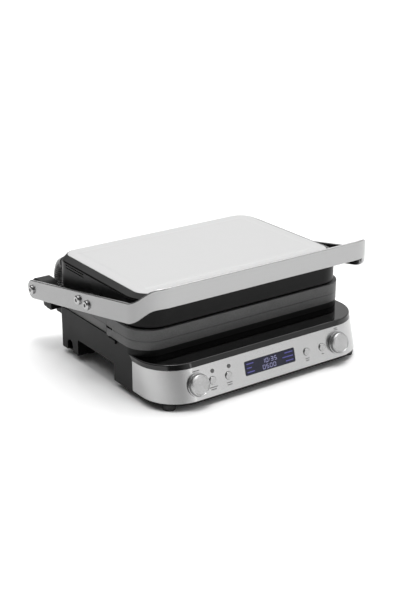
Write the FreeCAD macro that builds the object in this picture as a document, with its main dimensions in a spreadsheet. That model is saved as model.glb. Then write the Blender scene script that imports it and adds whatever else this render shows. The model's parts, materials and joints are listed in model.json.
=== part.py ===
# Contact grill (panini press): a base with a control panel and a grill plate, and a lid that
# hangs between the arms of a bent steel handle.
# Millimetres.  +X is the user's right, -Y faces the user, +Z is up, z = 0 is the table top.
import FreeCAD, Part
import math
import os
import Sketcher
from FreeCAD import Placement, Rotation, Vector

DOCUMENT = FreeCAD.newDocument("contact_grill")
SHEET = DOCUMENT.addObject("Spreadsheet::Sheet", "Sheet")

# ---------------------------------------------------------------------------- driving sizes
SIZES = {
    # base housing
    "base_half_width": 165.0,
    "base_rear": 105.0,
    "base_top": 66.0,
    "base_bottom": 8.0,
    "base_wall": 2.5,
    "base_rear_corner": 8.0,
    "tub_front": 97.5,          # front of the raised tub that carries the lower plate
    "tub_corner": 30.0,
    "arch_front": 35.0,         # hand recess under each side
    "arch_rear": 57.0,
    "arch_top": 31.0,
    "notch_y": 78.0,            # half-round notch in the foot of each side wall
    "notch_radius": 7.0,
    "notch_top": 24.0,
    # slanted front
    "panel_front": 149.9,       # lowest, most forward line of the panel
    "panel_low": 10.5,
    "panel_high": 50.7,
    "panel_lean": 11.0,         # how far the top edge stands behind the bottom edge
    "panel_corner": 48.0,
    "panel_end": 79.0,          # where the panel stops on each side
    "panel_sheet": 0.8,
    "deck_top": 57.7,
    "deck_sheet": 2.4,
    "seat_gap": 0.3,
    "pan_sheet": 2.2,
    "foot_radius": 9.0,
    "foot_x": 144.0,
    "front_foot_y": 129.0,
    "rear_foot_x": 136.0,
    "rear_foot_y": 78.0,
    "gland_x": 95.0,
    # controls
    "control_height": 29.5,
    "lamp_height": 40.6,
    "knob_x": 112.5,
    "knob_radius": 14.0,
    "knob_depth": 8.0,
    "shaft_radius": 3.0,
    "button_radius": 5.0,
    "button_left_outer": 90.0,
    "button_left_inner": 65.5,
    "button_right_inner": 60.0,
    "button_right_outer": 86.0,
    "button_travel": 1.2,
    "lamp_radius": 2.6,
    "window_half_width": 40.0,
    "window_half_height": 8.7,
    "window_height": 30.9,
    "window_corner": 1.6,
    # grill plates
    "plate_half_width": 166.0,
    "plate_front": 99.5,
    "plate_rear": 104.0,
    "plate_corner": 34.0,
    "plate_low": 66.3,
    "parting_height": 77.6,
    "plate_high": 91.8,
    "plate_gap": 0.4,
    "plate_wall": 5.0,
    "band_end": 21.0,           # the front band of each plate ends here on both sides
    "band_step": 2.5,
    "band_slot": 5.0,           # upright slot behind the band, in the plate's side
    "band_slot_depth": 3.2,
    "rib_pitch": 13.0,
    "rib_width": 6.0,
    "rib_height": 3.0,
    "floor_thick": 3.0,
    # lid
    "lid_half_width": 162.5,
    "lid_front": 98.0,
    "lid_rear": 117.0,
    "lid_corner": 36.0,
    "lid_rear_corner": 28.0,
    "lid_low": 95.0,
    "lid_waist": 129.5,
    "lid_wall": 3.0,
    "cover_half_width": 151.5,
    "cover_front": 83.7,
    "cover_rear": 114.5,
    "cover_corner": 20.0,
    "cover_top": 136.0,
    "cover_sheet": 1.4,
    # handle and its hinge
    "hinge_y": 146.0,
    "hinge_z": 78.5,
    "handle_half_width": 183.0,
    "handle_sheet": 4.0,
    "handle_edge": 1.4,         # rounding of the strip's long edges
    "handle_front": 137.0,
    "handle_corner": 38.0,
    "arm_half_height": 13.3,
    "arm_slope": 0.185,
    "arm_kink": 110.0,          # where the arms turn up towards the front bar
    "bar_low": 134.7,
    "bar_high": 160.7,
    "knuckle_radius": 14.5,
    "knuckle_inner": 155.0,
    "knuckle_outer": 176.7,
    "hinge_pin_radius": 4.0,
    "running_gap": 0.06,
    "float_y": 18.0,            # screw that the lid turns on between the arms
    "float_z": 104.4,
    "guide_y": -4.0,            # screw that limits how far the lid can tilt
    "guide_slot_half": 5.0,
    "lid_bush_radius": 5.0,
    # wire conduit
    "conduit_radius": 6.2,
    "conduit_bore": 4.6,
    "conduit_x": 142.5,
    "conduit_foot_y": 138.0,
    "conduit_foot_z": 70.0,
    "conduit_lid_z": 118.0,
}


class Size:
    """A value together with the spreadsheet expression that gives it."""

    def __init__(self, value, text):
        self.value = float(value)
        self.text = text

    def join(self, sign, other, value):
        text = other.text if isinstance(other, Size) else repr(float(other))
        return Size(value, "(%s %s %s)" % (self.text, sign, text))

    def __add__(self, other):
        return self.join("+", other, self.value + number(other))

    def __sub__(self, other):
        return self.join("-", other, self.value - number(other))

    def __mul__(self, other):
        return self.join("*", other, self.value * number(other))

    def __truediv__(self, other):
        return self.join("/", other, self.value / number(other))

    def __radd__(self, other):
        return fixed(other) + self

    def __rsub__(self, other):
        return fixed(other) - self

    def __rmul__(self, other):
        return fixed(other) * self

    def __neg__(self):
        return Size(-self.value, "(0 - %s)" % self.text)


def fixed(value):
    """A plain number that takes part in size sums."""
    return Size(value, repr(float(value)))


def largest(first, second):
    return Size(max(first.value, second.value), "max(%s; %s)" % (first.text, second.text))


def smallest(first, second):
    return Size(min(first.value, second.value), "min(%s; %s)" % (first.text, second.text))


def number(item):
    return item.value if isinstance(item, Size) else float(item)


def expression(item):
    return item.text if isinstance(item, Size) else repr(float(item))


class Sizes:
    """Reads one named cell of the sheet as a Size."""

    def __getattr__(self, name):
        return Size(SHEET.get(name), "Sheet." + name)


def fill_sheet():
    for row, (name, value) in enumerate(SIZES.items(), start=1):
        SHEET.set("A%d" % row, name)
        SHEET.set("B%d" % row, str(value))
        SHEET.setAlias("B%d" % row, name)
    DOCUMENT.recompute()


fill_sheet()
S = Sizes()


# ---------------------------------------------------------------------------- building tools
def bind(thing, **sizes):
    """Tie properties to the sheet; a double underscore stands for a dot."""
    for name, item in sizes.items():
        thing.setExpression(name.replace("__", "."), expression(item))


def place(thing, x=0.0, y=0.0, z=0.0):
    bind(thing, Placement__Base__x=x, Placement__Base__y=y, Placement__Base__z=z)


def new_body(label):
    body = DOCUMENT.addObject("PartDesign::Body", label)
    body.Label = label
    return body


def new_sketch(body, plane, start):
    """A sketch on one origin plane of its own body, moved along the plane's normal to start."""
    sketch = body.newObject("Sketcher::SketchObject", body.Name + "_sketch")
    support = [item for item in body.Origin.OriginFeatures if item.Role == plane][0]
    sketch.AttachmentSupport = [(support, "")]
    sketch.MapMode = "FlatFace"
    bind(sketch, AttachmentOffset__Base__z=start)
    return sketch


def pin_point(sketch, geometry, end, u, v):
    """Hold one point of the sketch at (u, v) from the sketch's origin."""
    for kind, item in (("DistanceX", u), ("DistanceY", v)):
        index = sketch.addConstraint(Sketcher.Constraint(kind, -1, 1, geometry, end, number(item)))
        sketch.setExpression("Constraints[%d]" % index, expression(item))


def draw_outline(sketch, corners):
    """A closed outline through corners (u, v, radius); a radius of 0 keeps the corner sharp."""
    count = len(corners)
    points = [Vector(number(u), number(v), 0) for u, v, _ in corners]
    starts = []
    ends = []
    arcs = []
    for index, (_, _, radius) in enumerate(corners):
        here = points[index]
        back = (points[index - 1] - here).normalize()
        onward = (points[(index + 1) % count] - here).normalize()
        arc = None
        cut = 0.0
        if number(radius) > 0:
            half = back.getAngle(onward) / 2
            cut = number(radius) / math.tan(half)
            middle = (back + onward).normalize() * (number(radius) / math.sin(half))
            nearest = here + middle - middle.normalize() * number(radius)
            arc = Part.Arc(here + back * cut, nearest, here + onward * cut)
        ends.append(here + back * cut)
        starts.append(here + onward * cut)
        arcs.append(arc)
    lines = [sketch.addGeometry(Part.LineSegment(starts[i], ends[(i + 1) % count]))
             for i in range(count)]
    for index, (u, v, radius) in enumerate(corners):
        before = lines[index - 1]
        after = lines[index]
        if arcs[index] is None:
            sketch.addConstraint(Sketcher.Constraint("Coincident", before, 2, after, 1))
            pin_point(sketch, after, 1, u, v)
            continue
        arc = sketch.addGeometry(arcs[index])
        starts_here = sketch.getPoint(arc, 1).distanceToPoint(ends[index]) < 1e-6
        first, last = (1, 2) if starts_here else (2, 1)
        tip = sketch.addGeometry(Part.Point(points[index]), True)
        pin_point(sketch, tip, 1, u, v)
        sketch.addConstraint([
            Sketcher.Constraint("PointOnObject", tip, 1, before),
            Sketcher.Constraint("PointOnObject", tip, 1, after),
            Sketcher.Constraint("Tangent", before, 2, arc, first),
            Sketcher.Constraint("Tangent", after, 1, arc, last),
        ])
        index_radius = sketch.addConstraint(Sketcher.Constraint("Radius", arc, number(radius)))
        sketch.setExpression("Constraints[%d]" % index_radius, expression(radius))


def draw_circles(sketch, centres, radius):
    for u, v in centres:
        circle = Part.Circle(Vector(number(u), number(v), 0), Vector(0, 0, 1), number(radius))
        geometry = sketch.addGeometry(circle)
        pin_point(sketch, geometry, 3, u, v)
        index = sketch.addConstraint(Sketcher.Constraint("Radius", geometry, number(radius)))
        sketch.setExpression("Constraints[%d]" % index, expression(radius))


def grow(body, kind, sketch, length, slant=None):
    """Pad or Pocket that runs along the sketch's normal, or along a slanted direction."""
    feature = body.newObject(kind, body.Name + "_step")
    feature.Profile = sketch
    bind(feature, Length=length)
    if kind == "PartDesign::Pocket":
        feature.Reversed = slant is None
    if slant is not None:
        feature.UseCustomVector = True
        feature.AlongSketchNormal = True
        feature.Direction = Vector(*[number(item) for item in slant])
        bind(feature, Direction__x=slant[0], Direction__y=slant[1], Direction__z=slant[2])
    return feature


def pad(body, plane, corners, start, length, slant=None):
    sketch = new_sketch(body, plane, start)
    draw_outline(sketch, corners)
    return grow(body, "PartDesign::Pad", sketch, length, slant)


def pocket(body, plane, corners, start, length, slant=None):
    sketch = new_sketch(body, plane, start)
    draw_outline(sketch, corners)
    return grow(body, "PartDesign::Pocket", sketch, length, slant)


def pad_circles(body, plane, centres, radius, start, length):
    sketch = new_sketch(body, plane, start)
    draw_circles(sketch, centres, radius)
    return grow(body, "PartDesign::Pad", sketch, length)


def drill(body, plane, centres, radius, start, length):
    sketch = new_sketch(body, plane, start)
    draw_circles(sketch, centres, radius)
    return grow(body, "PartDesign::Pocket", sketch, length)


def soften(body, radius, wanted, kind="PartDesign::Fillet"):
    """Round or chamfer the edges of the body's tip for which wanted(edge) is true."""
    DOCUMENT.recompute()
    tip = body.Tip
    names = ["Edge%d" % (i + 1) for i, edge in enumerate(tip.Shape.Edges) if wanted(edge)]
    feature = body.newObject(kind, body.Name + "_soft")
    feature.Base = (tip, names)
    if kind == "PartDesign::Fillet":
        bind(feature, Radius=radius)
    else:
        bind(feature, Size=radius)
    return feature


def level(height, slack=0.01):
    """Edges that lie flat at one height."""
    def wanted(edge):
        box = edge.BoundBox
        return abs(box.ZMin - number(height)) < slack and abs(box.ZMax - number(height)) < slack
    return wanted


def upright(depth, slack=0.01):
    """Upright edges at one y."""
    def wanted(edge):
        box = edge.BoundBox
        return (abs(box.YMin - number(depth)) < slack and abs(box.YMax - number(depth)) < slack
                and box.XLength < slack)
    return wanted


def turned(label, outline, turn=None):
    """A body of revolution: outline of (radius, height, corner radius) about its own Z axis."""
    body = new_body(label)
    sketch = new_sketch(body, "XZ_Plane", 0.0)
    draw_outline(sketch, outline)
    feature = body.newObject("PartDesign::Revolution", label + "_turn")
    feature.Profile = sketch
    feature.ReferenceAxis = (sketch, ["V_Axis"])
    feature.Angle = 360.0
    if turn is not None:
        body.Placement = Placement(Vector(), turn)
    return body


def box(label, x, y, z, length, width, height):
    block = DOCUMENT.addObject("Part::Box", label)
    block.Label = label
    bind(block, Length=length, Width=width, Height=height)
    place(block, x, y, z)
    return block


def cylinder(label, radius, height, x, y, z, turn=None):
    rod = DOCUMENT.addObject("Part::Cylinder", label)
    rod.Label = label
    bind(rod, Radius=radius, Height=height)
    if turn is not None:
        rod.Placement = Placement(Vector(), turn)
    place(rod, x, y, z)
    return rod


def joined(label, pieces):
    whole = DOCUMENT.addObject("Part::MultiFuse", label)
    whole.Label = label
    whole.Shapes = pieces
    whole.Refine = True
    return whole


def cut_from(label, base, tool):
    whole = DOCUMENT.addObject("Part::Cut", label)
    whole.Label = label
    whole.Base = base
    whole.Tool = tool
    return whole


def shared(label, first, second):
    whole = DOCUMENT.addObject("Part::MultiCommon", label)
    whole.Label = label
    whole.Shapes = [first, second]
    return whole


def mirrored(label, source):
    """The same piece on the other side of the X = 0 plane."""
    twin = DOCUMENT.addObject("Part::Mirroring", label)
    twin.Label = label
    twin.Source = source
    twin.Base = Vector(0, 0, 0)
    twin.Normal = Vector(1, 0, 0)
    return twin


def group(label, pieces):
    whole = DOCUMENT.addObject("Part::Compound", label)
    whole.Label = label
    whole.Links = pieces
    return whole


def both_sides(label, source):
    return group(label, [source, mirrored(label + "_twin", source)])


NODES = []


def keep(piece, label=None):
    """Make the piece a node of the assembly."""
    if label is not None:
        piece.Label = label
    NODES.append(piece)
    return piece


ALONG_X = Rotation(Vector(0, 1, 0), 90)
AGAINST_X = Rotation(Vector(0, 1, 0), -90)
PANEL_RISE = S.panel_high - S.panel_low
PANEL_SLOPE = S.panel_lean / PANEL_RISE
LEAN_ANGLE = math.atan(PANEL_SLOPE.value)
OUT_OF_PANEL = Rotation(Vector(1, 0, 0), 90 - math.degrees(LEAN_ANGLE))


# ---------------------------------------------------------------------------- outlines in plan
def front_outline(inset, back, shift=0.0):
    """The base's front in plan at the panel's bottom line, drawn in by inset and cut at y = back."""
    half = S.base_half_width - inset
    front = -S.panel_front + inset + shift
    corner = S.panel_corner - inset
    return [(-half, back, 0), (-half, front, corner), (half, front, corner), (half, back, 0)]


def block_outline(half, front, rear, corner, rear_corner):
    return [(-half, rear, rear_corner), (-half, front, corner),
            (half, front, corner), (half, rear, rear_corner)]


def front_prism(body, kind, inset, low, high, back):
    """Slanted prism of the front outline between two heights."""
    shift = (low - S.panel_low) * PANEL_SLOPE
    sketch = new_sketch(body, "XY_Plane", low)
    draw_outline(sketch, front_outline(inset, back, shift))
    return grow(body, kind, sketch, high - low, (fixed(0), S.panel_lean, PANEL_RISE))


def panel_depth(height):
    """y of the panel's outer face at a height."""
    return (height - S.panel_low) * PANEL_SLOPE - S.panel_front


def on_panel(piece, x, height):
    """Stand a piece, drawn along its own Z axis, square on the panel."""
    piece.Placement = Placement(Vector(), OUT_OF_PANEL)
    place(piece, x, panel_depth(height), height)
    return piece


def panel_block(label, x, height, half_length, half_height, near, far):
    """A block behind the panel from depth near to depth far, centred on (x, height)."""
    tilt = 1 / math.cos(LEAN_ANGLE)
    block = box(label, x, 0, 0, half_length * 2, half_height * 2 * tilt, far - near)
    block.Placement = Placement(Vector(), OUT_OF_PANEL)
    low = height - half_height
    place(block, x - half_length,
          panel_depth(low) + far * math.cos(LEAN_ANGLE), low - far * math.sin(LEAN_ANGLE))
    return block


def rounded_panel_block(label, x, height, half_length, half_height, near, far, corner):
    """A block behind the panel like panel_block, with round corners in the panel's plane."""
    body = new_body(label)
    reach = half_height / math.cos(LEAN_ANGLE)
    pad(body, "XY_Plane", [(-half_length, -reach, corner), (half_length, -reach, corner),
                           (half_length, reach, corner), (-half_length, reach, corner)],
        -far, far - near)
    return on_panel(body, x, height)


def panel_rod(label, x, height, radius, near, far):
    """A round piece square to the panel from depth near to depth far; a negative depth is outside."""
    rod = cylinder(label, radius, far - near, 0, 0, 0, OUT_OF_PANEL)
    place(rod, x, panel_depth(height) + far * math.cos(LEAN_ANGLE),
          height - far * math.sin(LEAN_ANGLE))
    return rod


# ---------------------------------------------------------------------------- controls layout
KNOBS = {"left": -S.knob_x, "right": S.knob_x}
BUTTONS = {
    "upper_plate_button": -S.button_left_outer,
    "lower_plate_button": -S.button_left_inner,
    "program_button": S.button_right_inner,
    "start_button": S.button_right_outer,
}
LAMPS = [-S.button_left_outer + 1.5, -S.button_left_inner + 2.0]
WALL_DEPTH = S.panel_sheet + S.seat_gap + S.base_wall       # panel face to the wall's inner face
BOARD_DEPTH = WALL_DEPTH + 7.0
SWITCH_HEIGHT = 3.5
BUTTON_PROUD = 1.8
HOLE_REACH = 30.0


def panel_holes():
    """Everything that the panel and the wall behind it leave open for the controls."""
    tools = []
    for side, x in KNOBS.items():
        tools.append(panel_rod(side + "_shaft_hole", x, S.control_height,
                               S.shaft_radius + 0.6, fixed(-4), WALL_DEPTH + 3))
    for name, x in BUTTONS.items():
        tools.append(panel_rod(name + "_hole", x, S.control_height,
                               S.button_radius + S.seat_gap, fixed(-4), WALL_DEPTH + 3))
    for index, x in enumerate(LAMPS):
        tools.append(panel_rod("lamp_hole_%d" % index, x, S.lamp_height,
                               S.lamp_radius + 0.1, fixed(-4), WALL_DEPTH + 3))
    gap = S.seat_gap
    tools.append(rounded_panel_block("window_hole", fixed(0), S.window_height,
                                     S.window_half_width + gap, S.window_half_height + gap,
                                     fixed(-4), WALL_DEPTH + 3, S.window_corner + gap))
    return joined("panel_holes", tools)


# ---------------------------------------------------------------------------- base shell
POSTS_X = S.base_half_width - 15
REAR_POSTS_X = S.base_half_width - 30
TRAY_HALF = S.plate_half_width - 26.5
TRAY_FRONT = S.plate_front - 24
TRAY_REAR = S.plate_rear - 19
RELEASE_FRONT = S.band_end + 22.5
RELEASE_REAR = S.band_end + 5
RELEASE_LOW = S.base_top - 5
CORE_INSET = S.panel_sheet + S.seat_gap
DECK_END_RISE = 8.4         # how far the deck's ends lean back over the rim's height
TONGUE_OUTER = S.base_half_width - 3.5
TONGUE_INNER = S.base_half_width - 15
TONGUE_LOW = S.base_top - 14
TONGUE_HIGH = S.base_top - 4
GLAND_X = S.gland_x
GLAND_Z = S.base_bottom + 20


def base_posts():
    return [(-POSTS_X, -(S.tub_front - 37)), (POSTS_X, -(S.tub_front - 37)),
            (-REAR_POSTS_X, S.base_rear - 13), (REAR_POSTS_X, S.base_rear - 13)]


def base_housing(holes):
    body = new_body("base_shell")
    half = S.base_half_width
    wide = half * 2 + 10
    low = S.base_bottom
    rim = S.deck_top - S.panel_high
    pad(body, "XY_Plane", block_outline(half, -S.panel_end, S.base_rear, 0, S.base_rear_corner),
        low, S.deck_top - low)
    pocket(body, "YZ_Plane",
           [(-S.panel_end - 1, S.panel_high, 0), (-S.panel_end, S.panel_high, 0),
            (-S.panel_end + DECK_END_RISE * 1.2, S.panel_high + rim * 1.2, 0),
            (-S.panel_end - 1, S.panel_high + rim * 1.2, 0)], -half - 5, wide)
    front_prism(body, "PartDesign::Pad", CORE_INSET, low, S.panel_high, -S.panel_end + 5)
    front_prism(body, "PartDesign::Pad", S.deck_sheet, S.panel_high - 1,
                S.deck_top - S.deck_sheet - S.seat_gap, -S.panel_end + 5)
    pad(body, "XY_Plane",
        block_outline(half, -S.tub_front, S.base_rear, S.tub_corner, S.base_rear_corner),
        S.panel_high - 1, S.base_top - S.panel_high + 1)
    wall = S.base_wall
    pocket(body, "XY_Plane",
           block_outline(half - wall, -S.tub_front + wall, S.base_rear - wall,
                         S.tub_corner - wall, S.base_rear_corner - wall),
           low - 1, S.base_top - wall - low + 1)
    front_prism(body, "PartDesign::Pocket", CORE_INSET + wall, low - 1,
                S.deck_top - S.deck_sheet - wall, -S.tub_front + S.tub_corner)
    pocket(body, "YZ_Plane",
           [(-S.arch_front, low - 2, 0), (S.arch_rear, low - 2, 0),
            (S.arch_rear, S.arch_top, 3.0), (-S.arch_front, S.arch_top, 3.0)], -half - 5, wide)
    near = S.notch_y - S.notch_radius
    far = S.notch_y + S.notch_radius
    bend = S.notch_radius * 0.98
    pocket(body, "YZ_Plane", [(near, low - 2, 0), (far, low - 2, 0), (far, S.notch_top, bend),
                              (near, S.notch_top, bend)], -half - 5, wide)
    # well for the heater tray
    gap = S.seat_gap
    pocket(body, "XY_Plane",
           block_outline(TRAY_HALF + gap, -TRAY_FRONT - gap, TRAY_REAR + gap, 10.0, 10.0),
           S.base_top - wall - 2, wall + 4)
    pad_circles(body, "XY_Plane", base_posts(), 4.0, low + S.pan_sheet,
                S.base_top - wall - low - S.pan_sheet + 0.5)
    drill(body, "XY_Plane", base_posts(), 1.55, low, 18.0)
    # slot and shelf for the plate release button in the left wall
    pocket(body, "XY_Plane",
           [(-half - 2, -RELEASE_FRONT, 0), (-half + 14, -RELEASE_FRONT, 0),
            (-half + 14, -RELEASE_REAR, 0), (-half - 2, -RELEASE_REAR, 0)],
           RELEASE_LOW - gap, 20.0)
    pad(body, "XY_Plane",
        [(-half + 1, -RELEASE_FRONT - 2, 0), (-half + 14, -RELEASE_FRONT - 2, 0),
         (-half + 14, -RELEASE_REAR + 2, 0), (-half + 1, -RELEASE_REAR + 2, 0)],
        RELEASE_LOW - gap - 2, 2.0)
    # slots in the rear wall for the tongues of the hinge brackets, and the cord opening
    for side in (-1, 1):
        near = (TONGUE_OUTER + gap) * side
        far = (TONGUE_INNER - gap) * side
        pocket(body, "XZ_Plane",
               [(near, TONGUE_LOW - gap, 0), (far, TONGUE_LOW - gap, 0),
                (far, TONGUE_HIGH + gap, 0), (near, TONGUE_HIGH + gap, 0)],
               -S.base_rear - 1, S.base_rear_corner + 1)
    drill(body, "XZ_Plane", [(GLAND_X, GLAND_Z)], 8.1, -S.base_rear - 1, wall + 2)
    return keep(cut_from("base_housing", body, holes))


def front_panel(holes):
    """One stainless sheet that wraps the slanted front and both front corners."""
    body = new_body("panel_sheet_form")
    half = S.base_half_width
    back = -S.panel_end + 20
    front_prism(body, "PartDesign::Pad", fixed(0), S.panel_low, S.panel_high, back)
    front_prism(body, "PartDesign::Pocket", S.panel_sheet, S.panel_low - 1, S.panel_high + 1,
                back + 5)
    pocket(body, "YZ_Plane",
           [(-S.panel_end - S.seat_gap, S.panel_low - 1, 0), (back + 20, S.panel_low - 1, 0),
            (back + 20, S.panel_high + 1, 0), (-S.panel_end - S.seat_gap, S.panel_high + 1, 0)],
           -half - 5, half * 2 + 10)
    return keep(cut_from("front_panel", body, holes))


def deck_trim():
    """Gloss black deck round the tub, with a rim that stands on the panel's top edge."""
    body = new_body("deck_trim")
    gap = S.seat_gap
    half = S.base_half_width
    rim = S.deck_top - S.panel_high
    back = -S.panel_end + DECK_END_RISE + 2
    front_prism(body, "PartDesign::Pad", fixed(0), S.panel_high + 0.1, S.deck_top, back)
    soften(body, fixed(1.6), level(S.deck_top, 0.02))
    front_prism(body, "PartDesign::Pocket", S.deck_sheet - gap, S.panel_high - 1,
                S.deck_top - S.deck_sheet, back + 3)
    pocket(body, "XY_Plane",
           block_outline(half + gap, -S.tub_front - gap, S.base_rear, S.tub_corner + gap, 0),
           S.panel_high - 1, rim + 3)
    pocket(body, "YZ_Plane",
           [(-S.panel_end - gap, S.panel_high, 0),
            (-S.panel_end - gap + DECK_END_RISE * 1.2, S.panel_high + rim * 1.2, 0),
            (-S.panel_end + 20, S.panel_high + rim * 1.2, 0),
            (-S.panel_end + 20, S.panel_high, 0)], -half - 5, half * 2 + 10)
    return keep(body)


def base_pan():
    """Stepped bottom cover: it rises between the side arches and lies low at front and rear."""
    body = new_body("base_pan")
    low = S.base_bottom
    sheet = S.pan_sheet
    inset = CORE_INSET + S.base_wall + S.seat_gap
    half = S.base_half_width - S.base_wall - S.seat_gap
    rear = S.base_rear - S.base_wall - S.seat_gap
    front_prism(body, "PartDesign::Pad", inset, low, low + sheet, -S.arch_front)
    pad(body, "YZ_Plane",
        [(-S.arch_front - 10, low, 0), (-S.arch_front, low, 0), (-S.arch_front, S.arch_top, 3.0),
         (S.arch_rear, S.arch_top, 3.0), (S.arch_rear, low, 0), (rear, low, 0),
         (rear, low + sheet, 0), (S.arch_rear + sheet, low + sheet, 0),
         (S.arch_rear + sheet, S.arch_top + sheet, 4.0),
         (-S.arch_front - sheet, S.arch_top + sheet, 4.0),
         (-S.arch_front - sheet, low + sheet, 0), (-S.arch_front - 10, low + sheet, 0)],
        -half, half * 2)
    soften(body, S.base_rear_corner - S.base_wall, upright(rear))
    drill(body, "XY_Plane", base_posts(), 1.9, low - 1, 4.0)
    return keep(body)


def screw_form(label, head_radius, head_height, shank_radius, length):
    """A pan-head screw along its own Z axis; the head stands on z = 0 and points up."""
    flat = head_height * 0.45
    return turned(label, [(0, -length, 0), (shank_radius, -length, 0), (shank_radius, 0, 0),
                          (head_radius, 0, 0), (head_radius, flat, 0),
                          (head_radius * 0.55, head_height, 0), (0, head_height, 0)])


def copies(label, source, spots, turn):
    """One node with a copy of the source at each spot."""
    pieces = []
    for index, (x, y, z) in enumerate(spots):
        link = DOCUMENT.addObject("App::Link", "%s_%d" % (label, index))
        link.LinkedObject = source
        link.LinkPlacement = Placement(Vector(number(x), number(y), number(z)), turn)
        pieces.append(link)
    return group(label, pieces)


def base_fasteners():
    screw = screw_form("base_screw", fixed(3.2), fixed(1.6), fixed(1.5), 14.0)
    spots = [(x, y, S.base_bottom) for x, y in base_posts()]
    return keep(copies("base_screws", screw, spots, Rotation(Vector(1, 0, 0), 180)))


def feet():
    for name, x, y in (("front_feet", S.foot_x, -S.front_foot_y),
                       ("rear_feet", S.rear_foot_x, S.rear_foot_y)):
        foot = turned(name + "_form", [(0, 0, 0), (S.foot_radius - 1, 0, 0),
                                       (S.foot_radius, S.base_bottom, 0),
                                       (0, S.base_bottom, 0)])
        place(foot, -x, y, 0)
        keep(both_sides(name, foot))


def cord_gland():
    gland = turned("cord_gland", [(4.0, -7.0, 0), (8.0, -7.0, 0), (8.0, 0, 0), (11.0, 0, 0),
                                  (10.0, 4.0, 0), (4.0, 4.0, 0)],
                   Rotation(Vector(1, 0, 0), -90))
    place(gland, GLAND_X, S.base_rear, GLAND_Z)
    return keep(gland)


# ---------------------------------------------------------------------------- controls
def knob(side, x):
    radius = S.knob_radius
    depth = S.knob_depth
    bore = S.shaft_radius + 0.03
    piece = turned(side + "_knob",
                   [(bore, 0.6, 0), (radius + 0.8, 0.6, 0), (radius + 0.8, 2.0, 0),
                    (radius, 2.6, 0), (radius - 0.5, depth, 1.0), (0, depth, 0),
                    (0, depth - 3, 0), (bore, depth - 3, 0)])
    keep(on_panel(piece, x, S.control_height))
    shaft = panel_rod(side + "_knob_shaft", x, S.control_height, S.shaft_radius,
                      -(S.knob_depth - 3.1), WALL_DEPTH - 0.1)
    keep(shaft)
    return panel_block(side + "_encoder", x, S.control_height, fixed(6.5),
                       fixed(6.5), WALL_DEPTH, BOARD_DEPTH - 0.05)


def push_button(name, x):
    """Round cap with a stem that ends just short of its switch."""
    cap_back = WALL_DEPTH + 0.6
    switch_face = BOARD_DEPTH - SWITCH_HEIGHT
    stem_end = switch_face - S.button_travel - 0.15
    radius = S.button_radius
    piece = turned(name, [(0, -stem_end, 0), (1.6, -stem_end, 0), (1.6, -cap_back, 0),
                          (radius, -cap_back, 0), (radius, BUTTON_PROUD, 0.6),
                          (0, BUTTON_PROUD, 0)])
    return keep(on_panel(piece, x, S.control_height))


def controls():
    keep(group("encoders", [knob(side, x) for side, x in KNOBS.items()]))
    switches = []
    for name, x in BUTTONS.items():
        push_button(name, x)
        switches.append(panel_block(name + "_switch", x, S.control_height, fixed(3),
                                    fixed(3), BOARD_DEPTH - SWITCH_HEIGHT,
                                    BOARD_DEPTH - 0.05))
    keep(group("tact_switches", switches))
    keep(group("lamp_lenses", [panel_rod("lamp_%d" % index, x, S.lamp_height, S.lamp_radius,
                                         fixed(-0.4), BOARD_DEPTH - 0.05)
                               for index, x in enumerate(LAMPS)]))
    keep(rounded_panel_block("display_window", fixed(0), S.window_height, S.window_half_width,
                             S.window_half_height, fixed(-0.1), fixed(2.4), S.window_corner))
    keep(panel_block("display_module", fixed(0), S.window_height, S.window_half_width - 1,
                     S.window_half_height - 0.6, fixed(2.45), BOARD_DEPTH - 0.05))
    keep(panel_block("control_board", fixed(0), S.window_height, S.knob_x + 12,
                     fixed(13.5), BOARD_DEPTH, BOARD_DEPTH + 1.6))


def power_board():
    low = S.base_bottom + S.pan_sheet
    front = -S.panel_front + 32
    sheet = box("power_board_sheet", fixed(-70), front, low + 5, 140.0, 62.0, 1.6)
    pieces = [sheet]
    for index, (x, y) in enumerate(((-64, 6), (64, 6), (-64, 56), (64, 56))):
        pieces.append(cylinder("board_pillar_%d" % index, 2.5, 5.0, fixed(x), front + y,
                               low))
    for index, (x, y, length, width, height) in enumerate(((-60, 12, 28, 22, 16),
                                                           (-20, 14, 18, 14, 12),
                                                           (12, 10, 12, 30, 18),
                                                           (34, 12, 24, 20, 10))):
        pieces.append(box("board_part_%d" % index, fixed(x), front + y, low + 6.6,
                          length, width, height))
    return keep(joined("power_board", pieces))


# ---------------------------------------------------------------------------- grill plates
LOWER_HIGH = S.parting_height - S.plate_gap / 2
UPPER_LOW = S.parting_height + S.plate_gap / 2


def plate_outline():
    """Plan of a plate: the front band stands proud of the sides behind it."""
    half = S.plate_half_width
    side = half - S.band_step
    slot = side - S.band_slot_depth
    end = -S.band_end
    back = end + S.band_slot
    rear = S.plate_rear
    left = [(-side, rear, 12.0), (-side, back, 0), (-slot, back, 0), (-slot, end, 0),
            (-half, end, 0), (-half, -S.plate_front, S.plate_corner)]
    right = [(-x, y, radius) for x, y, radius in reversed(left)]
    return left + right


def grill_plate(label, low, high, facing):
    """Cast plate with a ribbed face; facing is 1 when the ribs point up and -1 when down."""
    body = new_body(label)
    wall = S.plate_wall
    floor = S.floor_thick
    inner = block_outline(S.plate_half_width - S.band_step - wall, -S.plate_front + wall,
                          S.plate_rear - wall, S.plate_corner - wall, 8.0)
    pad(body, "XY_Plane", plate_outline(), low, high - low)
    face = high - 5.0 if facing > 0 else low + 5.0
    if facing > 0:
        pocket(body, "XY_Plane", inner, face, high - face + 1)
        pocket(body, "XY_Plane", inner, low - 1, face - floor - low + 1)
        foot, top = face, face + S.rib_height
    else:
        pocket(body, "XY_Plane", inner, low - 1, face - low + 1)
        pocket(body, "XY_Plane", inner, face + floor, high - face - floor + 1)
        foot, top = face, face - S.rib_height
    ribs(body, foot, top)
    finger_notch(body, high - 1.1 if facing > 0 else low - 1)
    return keep(body)


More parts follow.
